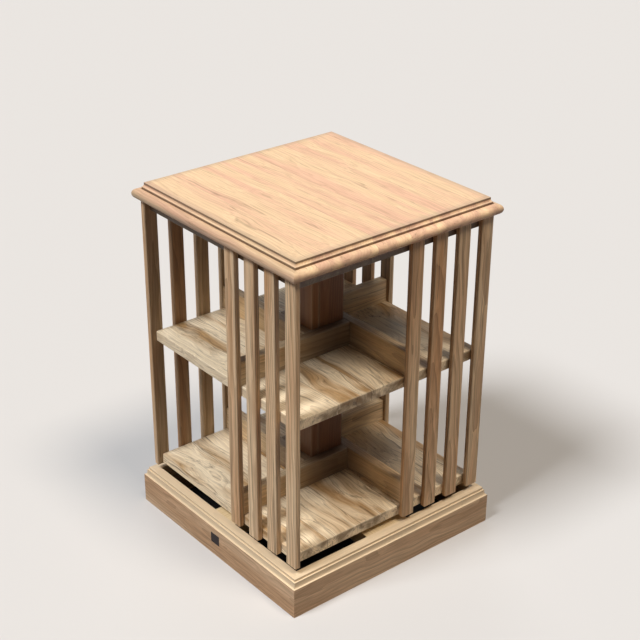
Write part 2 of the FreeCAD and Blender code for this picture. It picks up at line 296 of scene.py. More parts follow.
class BookcaseStage(bpy.types.PropertyGroup):
    """Floor, lights and camera"""

    floor: colour("Floor", "Floor as the camera sees it", "D2D2D3")
    floor_bounce: colour("Floor bounce", "Floor as it lights the bookcase", "4E3F38")
    # painted shade: a near-black patch of floor inside the plinth
    floor_shade_inside: colour("Floor inside", "Floor inside the plinth, where no light comes", "0A0807")
    world: level("Surrounding light", "Even light from all sides", 0.04)
    wall: level("Wall", "Pale wall where the camera looks past the floor", 0.85)
    key: level("Key light", "Level light of the main lamp on the top", 0.70)
    front: level("Front light", "Level light of the lamp in front", 0.48)
    back: level("Back light", "Level light of the lamp behind", 0.06)
    front_tint: colour("Front tint", "Colour of the lamp in front", "FFF1DF")
    azimuth: angle("Azimuth", "Camera's turn from the front", -39.32)
    elevation: angle("Elevation", "Camera's height angle", 27.58)
    roll: angle("Roll", "Camera's tilt", 0.31)
    distance: length("Distance", "From the camera to the point that it looks at", 2796)
    target: FloatVectorProperty(name="Target", description="Point that the camera looks at", unit="LENGTH",
                                default=(0.00173, -0.0021, 0.41932))
    lens: FloatProperty(name="Lens", description="Focal length in millimetres", min=1, default=79.44)
    shift: FloatVectorProperty(name="Shift", description="Camera's shift", size=2, default=(0.0061, 0.0220))


def settings(context):
    """Sizes and colours as the user has set them."""
    return context.scene.bookcase_sizes, context.scene.bookcase_colours


def feed(tree, target, inputs):
    """Gives inputs, by name or in order, to a node. Each is a value, or the output that it is linked to."""
    pairs = inputs.items() if isinstance(inputs, dict) else enumerate(inputs)
    for socket, value in pairs:
        if isinstance(value, bpy.types.NodeSocket):
            tree.links.new(value, target.inputs[socket])
        else:
            target.inputs[socket].default_value = value


def node(tree, kind, inputs=(), **options):
    """Adds a node with its options and inputs."""
    new = tree.nodes.new(kind)
    for name, value in options.items():
        setattr(new, name, value)
    feed(tree, new, inputs)
    return new


def finish_material(name, build):
    """New material whose shader takes the inputs that build works out with nodes of its own."""
    material = bpy.data.materials.new(name)
    material.use_nodes = True
    tree = material.node_tree
    feed(tree, tree.nodes["Principled BSDF"], build(partial(node, tree)))
    return material


def bare_tree(owner):
    """Empties the nodes of a new material or world, and gives the function that adds to them."""
    owner.use_nodes = True
    owner.node_tree.nodes.clear()
    return partial(node, owner.node_tree)


def seen_share(add):
    """1 on what the camera sees, also in a reflection or through glass, and 0 on what only gives light."""
    path = add("ShaderNodeLightPath").outputs
    seen = path["Is Camera Ray"]
    for ray in ("Is Glossy Ray", "Is Transmission Ray"):
        seen = add("ShaderNodeMath", (seen, path[ray]), operation="MAXIMUM").outputs[0]
    return seen


def rgba(value):
    """Colour with its alpha, as a colour socket takes it."""
    return (*value, 1.0)


def pattern_scale(pattern):
    """Scale that gives a pattern of size 1 its own sizes: one over each."""
    across, along = PATTERN_SIZES[pattern]
    return (1 / across, 1 / across, 1 / along)


def teak(group, pale, dark, colours):
    """Teak, planed, sanded and waxed. Rings round the pith give arcs on end grain and long cathedrals on
    faces. Bundles of pores give fine lines, minerals give dark streaks, and hands polish the edges pale; that
    pale also paints a highlight along the arrises. Dirt in joints, and painted shade in hollows, on inner
    faces and near the core, darken the wood. The wax leaves a low, uneven gloss."""
    figure = FIGURES[group]

    def build(add):
        lie = add("ShaderNodeAttribute", attribute_name="grain").outputs["Vector"]
        tone, edge, grime, end = (add("ShaderNodeAttribute", attribute_name=field).outputs["Fac"]
                                  for field in ("tone", "edge", "grime", "end"))
        # the grain wanders from side to side, as it grew round branches
        wide = add("ShaderNodeMapping", {"Vector": lie, "Scale": pattern_scale("wander")}).outputs["Vector"]
        sway = add("ShaderNodeTexNoise", {"Vector": wide, "Scale": 1.0, "Detail": 1.5}).outputs["Color"]
        grain = add("ShaderNodeVectorMath", (sway, (figure["wander"], figure["wander"], 0), lie),
                    operation="MULTIPLY_ADD").outputs[0]
        at = {}
        for pattern in ("rings", "fibres", "streaks", "bands", "knots"):
            placed = add("ShaderNodeMapping", {"Vector": grain, "Scale": pattern_scale(pattern)})
            at[pattern] = placed.outputs["Vector"]
        rings = add("ShaderNodeTexWave", {"Vector": at["rings"], "Scale": WAVE_PERIOD, "Distortion": 5.0,
                                          "Detail": 2.0, "Detail Scale": 0.45, "Detail Roughness": 0.55},
                    wave_type="RINGS", rings_direction="Z", wave_profile="SAW").outputs["Fac"]
        fibres = add("ShaderNodeTexNoise", {"Vector": at["fibres"], "Scale": 1.0, "Detail": 3.0,
                                            "Roughness": 0.6}).outputs["Fac"]
        streaks = add("ShaderNodeTexNoise", {"Vector": at["streaks"], "Scale": 1.0, "Detail": 3.0,
                                             "Roughness": 0.6, "Distortion": 1.2}).outputs["Fac"]
        bands = add("ShaderNodeTexNoise", {"Vector": at["bands"], "Scale": 1.0, "Detail": 2.0}).outputs["Fac"]
        knots = add("ShaderNodeTexVoronoi", {"Vector": at["knots"], "Scale": 1.0}).outputs

        # planks differ in tone, and each drifts along its length
        drift = add("ShaderNodeMath", (bands, figure["bands"], DARK_SHARE - figure["bands"] / 2),
                    operation="MULTIPLY_ADD").outputs[0]
        ruddy = add("ShaderNodeMath", (tone, TONE_SHARE, drift), operation="MULTIPLY_ADD",
                    use_clamp=True).outputs[0]
        # each ring darkens slowly to its late wood and then breaks off
        late = add("ShaderNodeMapRange", (rings, EARLY_WOOD, 1.0, 0.0, figure["rings"])).outputs["Result"]
        vein = add("ShaderNodeMapRange", (streaks, figure["start"], figure["full"], 0.0, figure["streaks"]),
                   interpolation_type="SMOOTHSTEP").outputs["Result"]
        shown = add("ShaderNodeMath", (knots["Color"], KNOT_SHADE), operation="GREATER_THAN").outputs[0]
        heart = add("ShaderNodeMapRange", (knots["Distance"], *KNOT_RIM, figure["knots"], 0.0))
        heart = add("ShaderNodeMath", (heart.outputs["Result"], shown), operation="MULTIPLY").outputs[0]
        # pores darken the fibres between them; from their ends they are too small to show, and there the
        # wood drinks wax in broad patches
        lines = add("ShaderNodeMapRange", (fibres, *NOISE_SPAN, *figure["lines"])).outputs["Result"]
        lines = add("ShaderNodeMix", {MIX_FACTOR: end, MIX_VALUE_A: lines, MIX_VALUE_B: END_SHADE})
        patches = add("ShaderNodeMapRange", (bands, *PATCH_SPAN, *figure["ends"])).outputs["Result"]
        shade = add("ShaderNodeMath", (end, patches, lines.outputs[MIX_VALUE]),
                    operation="MULTIPLY_ADD").outputs[0]

        wood = rgba(pale)
        layers = [
            (ruddy, rgba(dark), "MIX"),
            (late, rgba(colours.late_wood), "MIX"),
            (vein, rgba(colours.streak), "MIX"),
            (heart, rgba(colours.knot), "MIX"),
            (1.0, shade, "MULTIPLY"),
            # edges rubbed pale: wear and a painted highlight
            (edge, rgba(colours.rubbed_and_highlit), "MIX"),
            # grime: dirt in joints, and painted shade in hollows, on inner faces and round the core
            (grime, rgba(colours.joint), "MIX"),
        ]
        for share, tint, blend in layers:
            wood = add("ShaderNodeMix", {MIX_FACTOR: share, MIX_A: wood, MIX_B: tint}, data_type="RGBA",
                       blend_type=blend).outputs[MIX_RESULT]
        gloss = add("ShaderNodeMapRange", (fibres, *NOISE_SPAN, *WAX_ROUGHNESS)).outputs["Result"]
        height = add("ShaderNodeMath", (rings, RING_RELIEF, fibres), operation="MULTIPLY_ADD").outputs[0]
        bump = add("ShaderNodeBump", {"Height": height, "Strength": 0.35, "Distance": 0.0004})
        return {"Base Color": wood, "Roughness": gloss, "Normal": bump.outputs["Normal"],
                "Coat Weight": 0.08, "Coat Roughness": 0.4}

    return finish_material(f"teak_waxed_{group}", build)


def sawn_teak(name, colours, turn):
    """Teak straight from the saw, without wax: dull, fuzzy, with the marks of the saw's teeth across the
    grain. The turn lays the grain, which runs along Z, along the piece."""

    def build(add):
        place = add("ShaderNodeTexCoord").outputs["Object"]
        grain = add("ShaderNodeMapping", {"Vector": place, "Rotation": turn}).outputs["Vector"]
        fine = add("ShaderNodeMapping", {"Vector": grain, "Scale": pattern_scale("fibres")}).outputs["Vector"]
        fibres = add("ShaderNodeTexNoise", {"Vector": fine, "Scale": 1.0, "Detail": 4.0,
                                            "Roughness": 0.65}).outputs["Fac"]
        teeth = add("ShaderNodeTexWave", {"Vector": grain, "Scale": WAVE_PERIOD / TOOTH_MARK,
                                          "Distortion": 1.5, "Detail": 2.0}, bands_direction="Z")
        lines = add("ShaderNodeMapRange", (fibres, *NOISE_SPAN)).outputs["Result"]
        wood = add("ShaderNodeMix", {MIX_FACTOR: lines, MIX_A: rgba(colours.sawn_dark),
                                     MIX_B: rgba(colours.sawn_pale)}, data_type="RGBA")
        height = add("ShaderNodeMath", (teeth.outputs["Fac"], TOOTH_RELIEF, fibres),
                     operation="MULTIPLY_ADD").outputs[0]
        bump = add("ShaderNodeBump", {"Height": height, "Strength": 0.5, "Distance": 0.0006})
        return {"Base Color": wood.outputs[MIX_RESULT], "Roughness": 0.8, "Normal": bump.outputs["Normal"]}

    return finish_material(name, build)


def worked_metal(name, tint, rough, marks, spacing):
    """Bare metal with the marks of how it was made: drawn along its length, ground or turned in rings. The
    marks are finer than a tenth of a millimetre and are drawn coarser, so that they show."""

    def build(add):
        place = add("ShaderNodeTexCoord").outputs["Object"]
        scale = tuple(1 / step for step in spacing)
        fine = add("ShaderNodeMapping", {"Vector": place, "Scale": scale}).outputs["Vector"]
        if marks == "drawn":
            scratch = add("ShaderNodeTexNoise", {"Vector": fine, "Scale": 1.0, "Detail": 3.0,
                                                 "Roughness": 0.7})
        else:
            scratch = add("ShaderNodeTexWave", {"Vector": fine, "Scale": WAVE_PERIOD, "Distortion": 1.0,
                                                "Detail": 2.0}, wave_type="RINGS", rings_direction="Z")
        scratch = scratch.outputs["Fac"]
        shaded = [SCRATCH_SHADE * part for part in tint]
        shade = add("ShaderNodeMix", {MIX_FACTOR: scratch, MIX_A: rgba(shaded), MIX_B: rgba(tint)},
                    data_type="RGBA").outputs[MIX_RESULT]
        gloss = add("ShaderNodeMapRange", (scratch, 0.0, 1.0, *rough)).outputs["Result"]
        bump = add("ShaderNodeBump", {"Height": scratch, "Strength": 0.15, "Distance": 0.0001})
        return {"Base Color": shade, "Metallic": 1.0, "Roughness": gloss, "Normal": bump.outputs["Normal"]}

    return finish_material(name, build)


def cast_bronze(name, colours):
    """Bronze, cast and darkened: a dull brown skin with black tarnish in specks, and faint gloss."""

    def build(add):
        place = add("ShaderNodeTexCoord").outputs["Object"]
        specks = add("ShaderNodeTexNoise", {"Vector": place, "Scale": 1 / TARNISH_SPECK, "Detail": 4.0,
                                            "Roughness": 0.65}).outputs["Fac"]
        skin = add("ShaderNodeMix", {MIX_FACTOR: specks, MIX_A: rgba(colours.bronze_dark),
                                     MIX_B: rgba(colours.bronze)}, data_type="RGBA").outputs[MIX_RESULT]
        gloss = add("ShaderNodeMapRange", (specks, 0.0, 1.0, *TARNISH_ROUGHNESS)).outputs["Result"]
        bump = add("ShaderNodeBump", {"Height": specks, "Strength": 0.3, "Distance": 0.0002})
        return {"Base Color": skin, "Metallic": 0.6, "Roughness": gloss, "Normal": bump.outputs["Normal"]}

    return finish_material(name, build)


def stations(half, arris, sizes, cuts=()):
    """Grid lines from -half to half: three steps round half of each arris, one where its wear ends, then
    about a cell apart, and the cuts."""
    rim = half - arris + arris * ARC_STEPS
    inner = max(half - sizes.wear, LEAST_FLAT * half)
    run = np.linspace(-inner, inner, max(FEWEST_LINES, round(2 * inner / sizes.cell) + 1))
    return np.unique(np.round(np.concatenate([-rim, run, rim, cuts]), SAME_PLACE))


def block(low, high, arris, sizes, foot=None, cuts=(), bore=0):
    """Rounded block. A point of the sharp block is drawn to the nearest point of the block that is smaller
    by the arris, and set out again by the arris. The arris goes evenly from foot at the bottom to arris at
    the top. Cuts are lines across X. A bore makes the middle of the flats a square that runs into a
    circle."""
    low, high = np.array(low), np.array(high)
    middle, half = (low + high) / 2, (high - low) / 2
    foot = arris if foot is None else foot
    square = bore * HOLE_SQUARE
    ring = (-square, -square / 2, 0, square / 2, square) if bore else ()
    lines = [stations(half[X], arris, sizes, np.concatenate([cuts, ring])),
             stations(half[Y], arris, sizes, ring), stations(half[Z], arris, sizes)]
    patches = []
    for axis in (X, Y, Z):
        u, v = (axis + 1) % 3, (axis + 2) % 3
        for side in (-1, 1):
            sharp = np.empty((len(lines[u]), len(lines[v]), 3))
            sharp[..., u], sharp[..., v] = np.meshgrid(lines[u], lines[v], indexing="ij")
            sharp[..., axis] = side * half[axis]
            radius = foot + (arris - foot) * (sharp[..., Z:] / half[Z] + 1) / 2
            kernel = np.clip(sharp, radius - half, half - radius)
            normal = (sharp - kernel) / np.linalg.norm(sharp - kernel, axis=2, keepdims=True)
            grid = middle + kernel + radius * normal
            if bore and axis == Z:
                patches += bored(grid, normal, lines[X], lines[Y], square, bore, middle, half[Z])
            else:
                patches.append((grid, normal))
    return patches


def bored(grid, normal, xs, ys, square, bore, middle, half_height):
    """A flat with a round hole: the grid round a square, and from each edge of the square rows of points
    that go evenly to the circle, where a point lies on the same ray. The wall goes halfway through the
    board."""
    west, east = (np.abs(xs - edge).argmin() for edge in (-square, square))
    south, north = (np.abs(ys - edge).argmin() for edge in (-square, square))
    wide, deep = slice(west, east + 1), slice(south, north + 1)
    parts = [np.s_[:west + 1, :], np.s_[east:, :], np.s_[wide, :south + 1], np.s_[wide, north:]]
    patches = [(grid[part], normal[part]) for part in parts]
    shares = np.linspace(0, 1, HOLE_ROWS)[:, None, None]
    for edge in ((wide, south), (wide, north), (west, deep), (east, deep)):
        rim = grid[edge]
        ray = (rim - middle) * (1, 1, 0)
        ray /= np.linalg.norm(ray, axis=1, keepdims=True)
        circle = rim * (0, 0, 1) + middle * (1, 1, 0) + bore * ray
        rows = rim + shares * (circle - rim)
        patches.append((rows, np.broadcast_to(normal[edge], rows.shape)))
        wall = np.stack([circle, circle - normal[edge] * half_height])
        patches.append((wall, np.broadcast_to(-ray, wall.shape)))
    return patches


def joint_share(places, cuts, sizes):
    """1 on a plank joint, falling evenly to 0 at the rim of its dip."""
    gap = np.abs(places[..., None] - cuts).min(axis=-1) if len(cuts) else np.full(places.shape, np.inf)
    return np.clip(1 - gap / sizes.joint_w, 0, 1)


def joint_lines(cuts, sizes):
    """Grid lines along the plank joints and both rims of their dips."""
    return np.concatenate([cuts + side * sizes.joint_w for side in (-1, 0, 1)])


def dipped(patches, cuts, sizes):
    """Lets the surface down along each plank joint, evenly from the dip's rim to the joint."""
    return [(grid - normal * sizes.joint_depth * joint_share(grid[..., X], cuts, sizes)[..., None], normal)
            for grid, normal in patches]


def straight(start, end, count=2):
    """Straight run of a profile. Its normal lies to the right of its way."""
    points = np.linspace(start, end, count)
    way = np.subtract(end, start) / np.linalg.norm(np.subtract(end, start))
    return points, np.broadcast_to((way[1], -way[0]), points.shape)


def curved(centre, radius, first, last, count, hollow=False):
    """Arc of a profile between two angles in degrees. Its normal points from the centre, or in a hollow to
    it."""
    turn = np.radians(np.linspace(first, last, count))
    ray = np.stack([np.cos(turn), np.sin(turn)], axis=-1)
    return np.add(centre, radius * ray), -ray if hollow else ray


def nosed(x, z, radius, start, end):
    """Runs from start up to a square corner, round it by an arc and in to the end."""
    return [straight(start, (x, z - radius)),
            curved((x - radius, z - radius), radius, 0, 90, NOSE_POINTS),
            straight((x - radius, z), end)]


def carried(runs, places, turn):
    """Profile carried along one side of a square. Each profile point is a half-width h and a height z: its
    row of the grid lies at y = -h and goes from the mitre at x = -h through the places to the mitre at
    x = h. The grid is then turned to its side."""
    spin = np.linalg.matrix_power(QUARTER_TURN, turn)
    patches = []
    for points, normals in runs:
        h = points[:, :1]
        x = np.concatenate([-h, np.broadcast_to(places, (len(h), len(places))), h], axis=1)
        y, z = (np.broadcast_to(column, x.shape) for column in (-h, points[:, 1:]))
        facing = np.stack([np.zeros(len(h)), -normals[:, 0], normals[:, 1]], axis=-1) @ spin
        grid = np.stack([x, y, z], axis=-1) @ spin
        patches.append((grid, np.broadcast_to(facing[:, None], grid.shape)))
    return patches


def block_wear(points, low, high, reach):
    """Closeness to an edge of a block, from 0 to 1: an edge is near where the second nearest face is."""
    gap = np.sort(np.minimum(points - np.array(low), np.array(high) - points), axis=1)[:, 1]
    return np.clip(1 - gap / reach, 0, 1)


def moulding_wear(points, arrises, reach):
    """Closeness to the arrises of a moulding, each a half-width and a height, from 0 to 1."""
    place = np.stack([np.abs(points[:, :Z]).max(axis=1), points[:, Z]], axis=1)
    gap = np.linalg.norm(place[:, None] - np.array(arrises), axis=2).min(axis=1)
    return np.clip(1 - gap / reach, 0, 1)


def height_wear(points, start):
    """1 above the start, 0 below it."""
    return points[:, Z] > start


def wall_closeness(points, walls, reach):
    """Closeness to the upright walls of a moulding, each a half-width and two heights, from 0 to 1."""
    half, z = np.abs(points[:, :Z]).max(axis=1), points[:, Z]
    gaps = [np.hypot(half - wall, np.maximum(bottom - z, z - top).clip(0)) for wall, bottom, top in walls]
    return np.clip(1 - np.min(gaps, axis=0) / reach, 0, 1)


def top_wax_and_shade(points, walls, reach, fillet):
    """Dark wax and painted shade along the upright walls of the top's moulding, and a little dirt all over
    its left and right sides outside the fillet."""
    quirks = QUIRK_WAX_AND_SHADE * wall_closeness(points, walls, reach)
    return np.maximum(quirks, BEAD_DIRT * (np.abs(points[:, X]) > fillet))


def core_closeness(points, reach):
    """Closeness to the upright axis, from 1 on it to 0 at the reach."""
    return np.clip(1 - np.hypot(points[:, X], points[:, Y]) / reach, 0, 1)


def inner_patina_and_shade(points, axis, outward, depth):
    """1 on the inner face of a piece that stands at one side of the carcass, falling to 0 within the
    depth."""
    inward = -outward * points[:, axis]
    return np.clip(1 - (inward.max() - inward) / depth, 0, 1)


def weld(patches, caps):
    """Joins grids and caps: vertices, faces, and a normal for each corner. Points at the same place become
    one, faces without area go, and each face is turned to its normals. A cap is an outline and its normal."""
    points = [grid.reshape(-1, 3) for grid, _ in patches] + [outline for outline, _ in caps]
    normals = [normal.reshape(-1, 3) for _, normal in patches]
    normals += [np.broadcast_to(normal, outline.shape) for outline, normal in caps]
    points, normals = np.concatenate(points), np.concatenate(normals)
    faces, start = [], 0
    for grid, _ in patches:
        rows, columns = grid.shape[:2]
        index = start + np.arange(rows * columns).reshape(rows, columns)
        corners = [index[:-1, :-1], index[1:, :-1], index[1:, 1:], index[:-1, 1:]]
        quads = np.stack(corners, axis=-1).reshape(-1, 4)
        first, second, third, fourth = points[quads].swapaxes(0, 1)
        facing = np.cross(third - first, fourth - second)
        inward = (facing * normals[quads].mean(axis=1)).sum(axis=1) < 0
        quads[inward] = quads[inward, ::-1]
        faces += quads[np.linalg.norm(facing, axis=1) > NO_AREA].tolist()
        start += rows * columns
    for outline, normal in caps:
        index = start + np.arange(len(outline))
        facing = np.cross(outline - outline[0], np.roll(outline, -1, axis=0) - outline[0]).sum(axis=0)
        faces.append((index if facing @ normal > 0 else index[::-1]).tolist())
        start += len(outline)
    _, kept, merged = np.unique(np.round(points, SAME_PLACE), axis=0, return_index=True, return_inverse=True)
    merged = merged.ravel()
    return points[kept], [merged[face].tolist() for face in faces], normals[np.concatenate(faces)]


def timber(context, name, patches, material, slot, along, across, worn_and_highlit, cuts=(), tones=None,
           joint_dirt=JOINT_DIRT, dirt=0.0, dirty=None, rubbed_and_highlit=RUBBED_AND_HIGHLIT, caps=()):
    """Piece of planks that stands for a CAD node. Each plank is cut from its own log: in the grain attribute
    z runs along the grain and the pith lies at x = y = 0. The plank lies off the pith and leans from it,
    which draws cathedrals on its faces. The dirt and painted shade is one share all over, or that share of
    what its map gives at each point, and on a joint the greater of it and the joint's own dirt."""
    sizes, _ = settings(context)
    vertices, faces, normals = weld(patches, caps)
    mesh = bpy.data.meshes.new(f"{name}_teak")
    mesh.from_pydata(vertices.tolist(), [], faces, shade_flat=False)
    mesh.normals_split_custom_set(normals.tolist())
    mesh.materials.append(material)

    counts = np.array([len(face) for face in faces])
    places = vertices[np.concatenate(faces)]
    centres = np.add.reduceat(places, np.cumsum(counts) - counts) / counts[:, None]
    plank = np.repeat(np.searchsorted(cuts, centres[:, across]), counts)
    bounds = np.concatenate([[vertices[:, across].min()], cuts, [vertices[:, across].max()]])
    middles = (bounds[:-1] + bounds[1:]) / 2
    through = X + Y + Z - along - across
    depth = places[:, through] - vertices[:, through].mean()
    run = places[:, along]
    planks = len(cuts) + 1
    chance = np.random.default_rng(sum(name.encode()) * SEED_STEP + len(name))
    pith = chance.choice([-1, 1], planks) * chance.uniform(*PITH_DISTANCE, planks)
    aside = chance.uniform(-PITH_ASIDE, PITH_ASIDE, planks)
    lean_aside = chance.normal(0, LEAN_ASIDE, planks)
    lean_away = chance.normal(0, LEAN_AWAY, planks)
    log_place = chance.uniform(-LOG_REACH, LOG_REACH, planks)
    grain = np.stack([
        places[:, across] - middles[plank] + aside[plank] + run * lean_aside[plank],
        depth + pith[plank] + run * lean_away[plank],
        run + log_place[plank],
    ], axis=1)
    tones = chance.uniform(0, 1, planks) if tones is None else tones
    # dirt and painted shade: darkens hollows, inner faces and the wood round the core, standing in for shade
    # there
    dirt = np.minimum(dirt * dirty(vertices), 1) if dirty else dirt
    fields = {
        "tone": ("CORNER", tones[plank]),
        "end": ("CORNER", np.abs(normals[:, along])),
        "edge": ("POINT", rubbed_and_highlit * worn_and_highlit(vertices) ** 2),
        "grime": ("POINT", np.maximum(joint_dirt * joint_share(vertices[:, across], cuts, sizes), dirt)),
    }
    for field, (domain, values) in fields.items():
        mesh.attributes.new(field, "FLOAT", domain).data.foreach_set("value", values)
    mesh.attributes.new("grain", "FLOAT_VECTOR", "CORNER").data.foreach_set("vector", grain.ravel())

    piece = bpy.data.objects.new(f"{name}_teak", mesh)
    context.scene.collection.objects.link(piece)
    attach(piece, frame["nodes"][name]["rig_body"])
    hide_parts(name)


def board(context, name, material, slot, along, across, arris, wear, foot=None, cuts=(), bore=0, **looks):
    """Rounded block that fills the box of its CAD node, with its plank joints let down."""
    sizes, _ = settings(context)
    low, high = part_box(name)
    lines = joint_lines(cuts, sizes) if len(cuts) else ()
    patches = dipped(block(low, high, arris, sizes, foot, lines, bore), cuts, sizes)
    worn_and_highlit = partial(block_wear, low=low, high=high, reach=wear)
    timber(context, name, patches, material, slot, along, across, worn_and_highlit, cuts, **looks)


def dress(name, material):
    """Gives a CAD node its material."""
    mesh = frame["nodes"][name].data
    mesh.materials.clear()
    mesh.materials.append(material)


class BOOKCASE_OT_top(bpy.types.Operator):
    """Top board of glued planks, with a bead, a fillet, a hollow and a rim routed round its edge"""

    bl_idname = "bookcase.top"
    bl_label = "Top board"

    def execute(self, context):
        sizes, colours = settings(context)
        low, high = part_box("top_board")
        bead, bead_z = high.x - sizes.bead_r, low.z + sizes.bead_r
        crown_z = bead_z + sizes.bead_r
        fillet, fillet_z = bead - sizes.bead_ledge_w, crown_z + sizes.fillet_h
        quirk, quirk_z = fillet + sizes.quirk_w, crown_z - sizes.quirk_depth
        rim, rim_z = fillet - sizes.hollow_w, fillet_z + sizes.hollow_h
        flat = rim - sizes.rim_round
        # the hollow is an arc that meets the rim upright
        hollow_r = (sizes.hollow_w ** 2 + sizes.hollow_h ** 2) / (2 * sizes.hollow_w)
        sweep = math.degrees(math.asin(sizes.hollow_h / hollow_r))
        runs = [
            curved((bead, bead_z), sizes.bead_r, -90, 90, BEAD_POINTS),
            straight((bead, crown_z), (quirk, crown_z)),
            straight((quirk, crown_z), (quirk, quirk_z)),
            straight((quirk, quirk_z), (fillet, quirk_z)),
            straight((fillet, quirk_z), (fillet, fillet_z), FILLET_POINTS),
            curved((rim + hollow_r, rim_z), hollow_r, 180 + sweep, 180, HOLLOW_POINTS, hollow=True),
            *nosed(rim, high.z, sizes.rim_round, (rim, rim_z), (flat, high.z))[:2],
        ]
        reach = flat - sizes.cell / 2
        lines = np.concatenate([np.linspace(-reach, reach, TOP_LINES), joint_lines(TOP_JOINTS, sizes)])
        # the same from both ends, so that the edge meets the flats point by point on all four sides
        places = np.unique(np.round(np.concatenate([lines, -lines]), SAME_PLACE))
        patches = [patch for turn in range(len(SIDES)) for patch in carried(runs, places, turn)]
        for half, height, facing in ((bead, low.z, -1.0), (flat, high.z, 1.0)):
            lines = np.concatenate([[-half], places, [half]])
            level_x, level_y = np.meshgrid(lines, lines, indexing="ij")
            grid = np.stack([level_x, level_y, np.full(level_x.shape, height)], axis=-1)
            patches.append((grid, np.broadcast_to((0, 0, facing), grid.shape)))
        arrises = [(fillet, fillet_z), (rim, high.z), (high.x, bead_z)]
        # dark wax and painted shade in the quirk and the hollow, clear of the arrises
        clean = CLEAN_SHARE * sizes.grime
        walls = [(fillet, quirk_z, fillet_z - clean), (rim, rim_z, high.z - clean)]
        worn_and_highlit = partial(moulding_wear, arrises=arrises, reach=sizes.wear)
        dirty = partial(top_wax_and_shade, walls=walls, reach=sizes.grime, fillet=fillet)
        # teak in the best light: blond at the left, pinkish at the right, with only faint streaks
        wood = teak("top", colours.top_pale, colours.top_dark, colours)
        timber(context, "top_board", patches, wood, "top_wood", Y, X, worn_and_highlit, TOP_JOINTS, TOP_TONES,
               TOP_JOINT_DIRT, dirt=1.0, dirty=dirty)
        return {"FINISHED"}


class BOOKCASE_OT_shelves(bpy.types.Operator):
    """Bottom shelf, middle shelf and the board under the top, each glued from five planks"""

    bl_idname = "bookcase.shelves"
    bl_label = "Shelves"

    def execute(self, context):
        sizes, colours = settings(context)
        # mixed sapwood and heartwood, with branching streaks, and painted shade that darkens it near the core
        wood = teak("shelves", colours.shelf_pale, colours.shelf_dark, colours)
        dirty = partial(core_closeness, reach=SHELF_CORE_SHADE_END)
        bushed = {"bore": sizes.bore, "dirt": SHELF_CORE_SHADE, "dirty": dirty}
        for name, joints in SHELF_JOINTS.items():
            # the board under the top has no bush, and painted shade darkens it all over, for the shade of the
            # top above it
            looks = {"dirt": UPPER_BOARD_SHADE} if name == "upper_board" else bushed
            board(context, name, wood, "shelf_wood", Y, X, sizes.board_arris, sizes.wear, cuts=joints,
                  tones=SHELF_TONES[name], **looks)
        return {"FINISHED"}


class BOOKCASE_OT_slats(bpy.types.Operator):
    """Sixteen upright slats, four on one half of each side"""

    bl_idname = "bookcase.slats"
    bl_label = "Slats"

    def execute(self, context):
        sizes, colours = settings(context)
        # narrow strips with long ring lines and here and there a knot
        wood = teak("slats", colours.slat_pale, colours.slat_dark, colours)
        for side in SIDES:
            # the inner faces, which no hand or light reaches, are darker: patina, and painted shade for the
            # shade inside the case
            patina_and_shade = partial(inner_patina_and_shade, axis=X + Y - RUN[side], outward=OUTWARD[side],
                             depth=2 * sizes.slat_arris)
            for name in sorted(name for name in frame["nodes"] if name.startswith(f"slat_{side}_")):
                board(context, name, wood, "slat_wood", Z, RUN[side], sizes.slat_arris, sizes.wear,
                      tones=np.zeros(1) if name == PALEST_SLAT else None, dirt=SLAT_PATINA_AND_SHADE, dirty=patina_and_shade)
        return {"FINISHED"}


class BOOKCASE_OT_core(bpy.types.Operator):
    """Hollow core round the spindle: four lapped boards in each tier"""

    bl_idname = "bookcase.core"
    bl_label = "Core"

    def execute(self, context):
        sizes, colours = settings(context)
        # dark colours that paint the shade deep in the case, with more painted shade in the lower tier under
        # the middle shelf
        wood = teak("core", colours.core_pale, colours.core_dark, colours)
        for tier in TIERS:
            for side in SIDES:
                board(context, f"core_{tier}_{side}", wood, "core_wood", Z, RUN[side], sizes.core_arris,
                      sizes.wear / 2, dirt=CORE_SHADE[tier])
        return {"FINISHED"}


class BOOKCASE_OT_dividers(bpy.types.Operator):
    """Low rails that part the compartments, with rounded top edges"""

    bl_idname = "bookcase.dividers"
    bl_label = "Dividers"

    def execute(self, context):
        sizes, colours = settings(context)
        # rails with top edges paled by wear and a painted highlight, and painted shade that darkens them near
        # the core
        wood = teak("dividers", colours.divider_pale, colours.divider_dark, colours)
        dirty = partial(core_closeness, reach=DIVIDER_CORE_SHADE_END)
        for tier in TIERS:
            for side in SIDES:
                board(context, f"divider_{tier}_{side}", wood, "divider_wood", X + Y - RUN[side], Z,
                      sizes.divider_arris, sizes.wear, foot=sizes.foot_arris, dirt=DIVIDER_CORE_SHADE, dirty=dirty)
        return {"FINISHED"}


